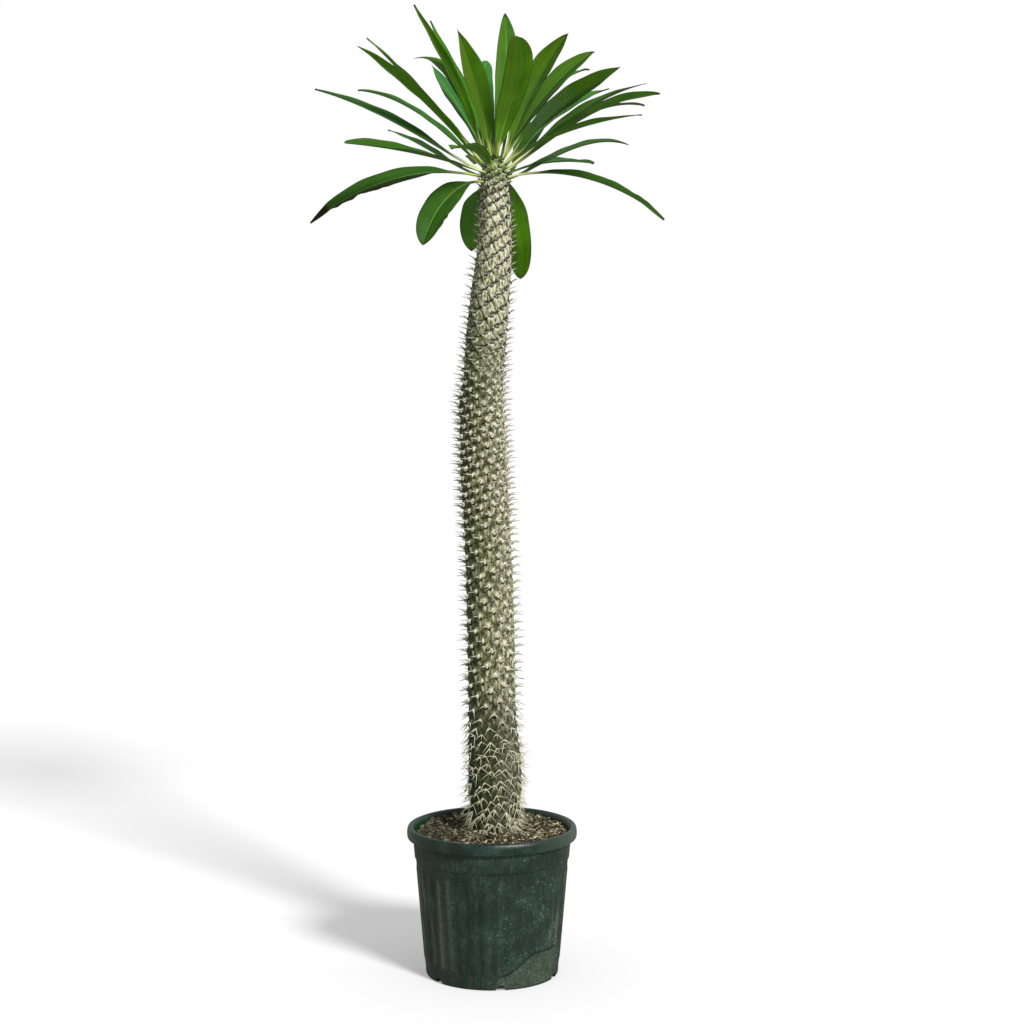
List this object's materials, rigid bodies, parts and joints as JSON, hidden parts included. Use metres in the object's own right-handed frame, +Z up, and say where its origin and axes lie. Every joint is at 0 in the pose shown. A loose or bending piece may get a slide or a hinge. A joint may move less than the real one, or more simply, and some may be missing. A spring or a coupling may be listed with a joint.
{
  "type": "potted madagascar palm",
  "caption": "Potted Madagascar palm: a tall spiny tapering trunk of spiralled tubercles with a crown of long channelled leaves, in a round fluted nursery pot.",
  "frame": {"origin": "middle of the pot's underside, on the ground", "axes": "+Z up along the plant; +X to the right and -Y to the front as the plant is usually seen"},
  "size_m": [0.605, 0.55, 1.69],
  "materials": {
    "pot_plastic": "moulded dark green polypropylene, scuffed, with lime and soil stains",
    "potting_mix": "rough bark chips and compost",
    "trunk_skin": "matt grey-green succulent skin with pale grey spines",
    "leaf": "waxy satin leaf with a pale midrib"
  },
  "bodies": {
    "root": {"pot": "pot_plastic", "soil": "potting_mix", "trunk": "trunk_skin", "leaf_01": "leaf", "leaf_02": "leaf", "leaf_03": "leaf", "leaf_04": "leaf", "leaf_05": "leaf", "leaf_06": "leaf", "leaf_07": "leaf", "leaf_08": "leaf", "leaf_09": "leaf", "leaf_10": "leaf", "leaf_11": "leaf", "leaf_12": "leaf", "leaf_13": "leaf", "leaf_14": "leaf", "leaf_15": "leaf", "leaf_16": "leaf", "leaf_17": "leaf", "leaf_18": "leaf", "leaf_19": "leaf", "leaf_20": "leaf", "leaf_21": "leaf", "leaf_22": "leaf", "leaf_23": "leaf", "leaf_24": "leaf", "leaf_25": "leaf", "leaf_26": "leaf", "leaf_27": "leaf", "leaf_28": "leaf", "leaf_29": "leaf", "leaf_30": "leaf", "leaf_31": "leaf", "leaf_32": "leaf", "leaf_33": "leaf", "leaf_34": "leaf", "leaf_35": "leaf", "leaf_36": "leaf"}
  },
  "joints": []
}
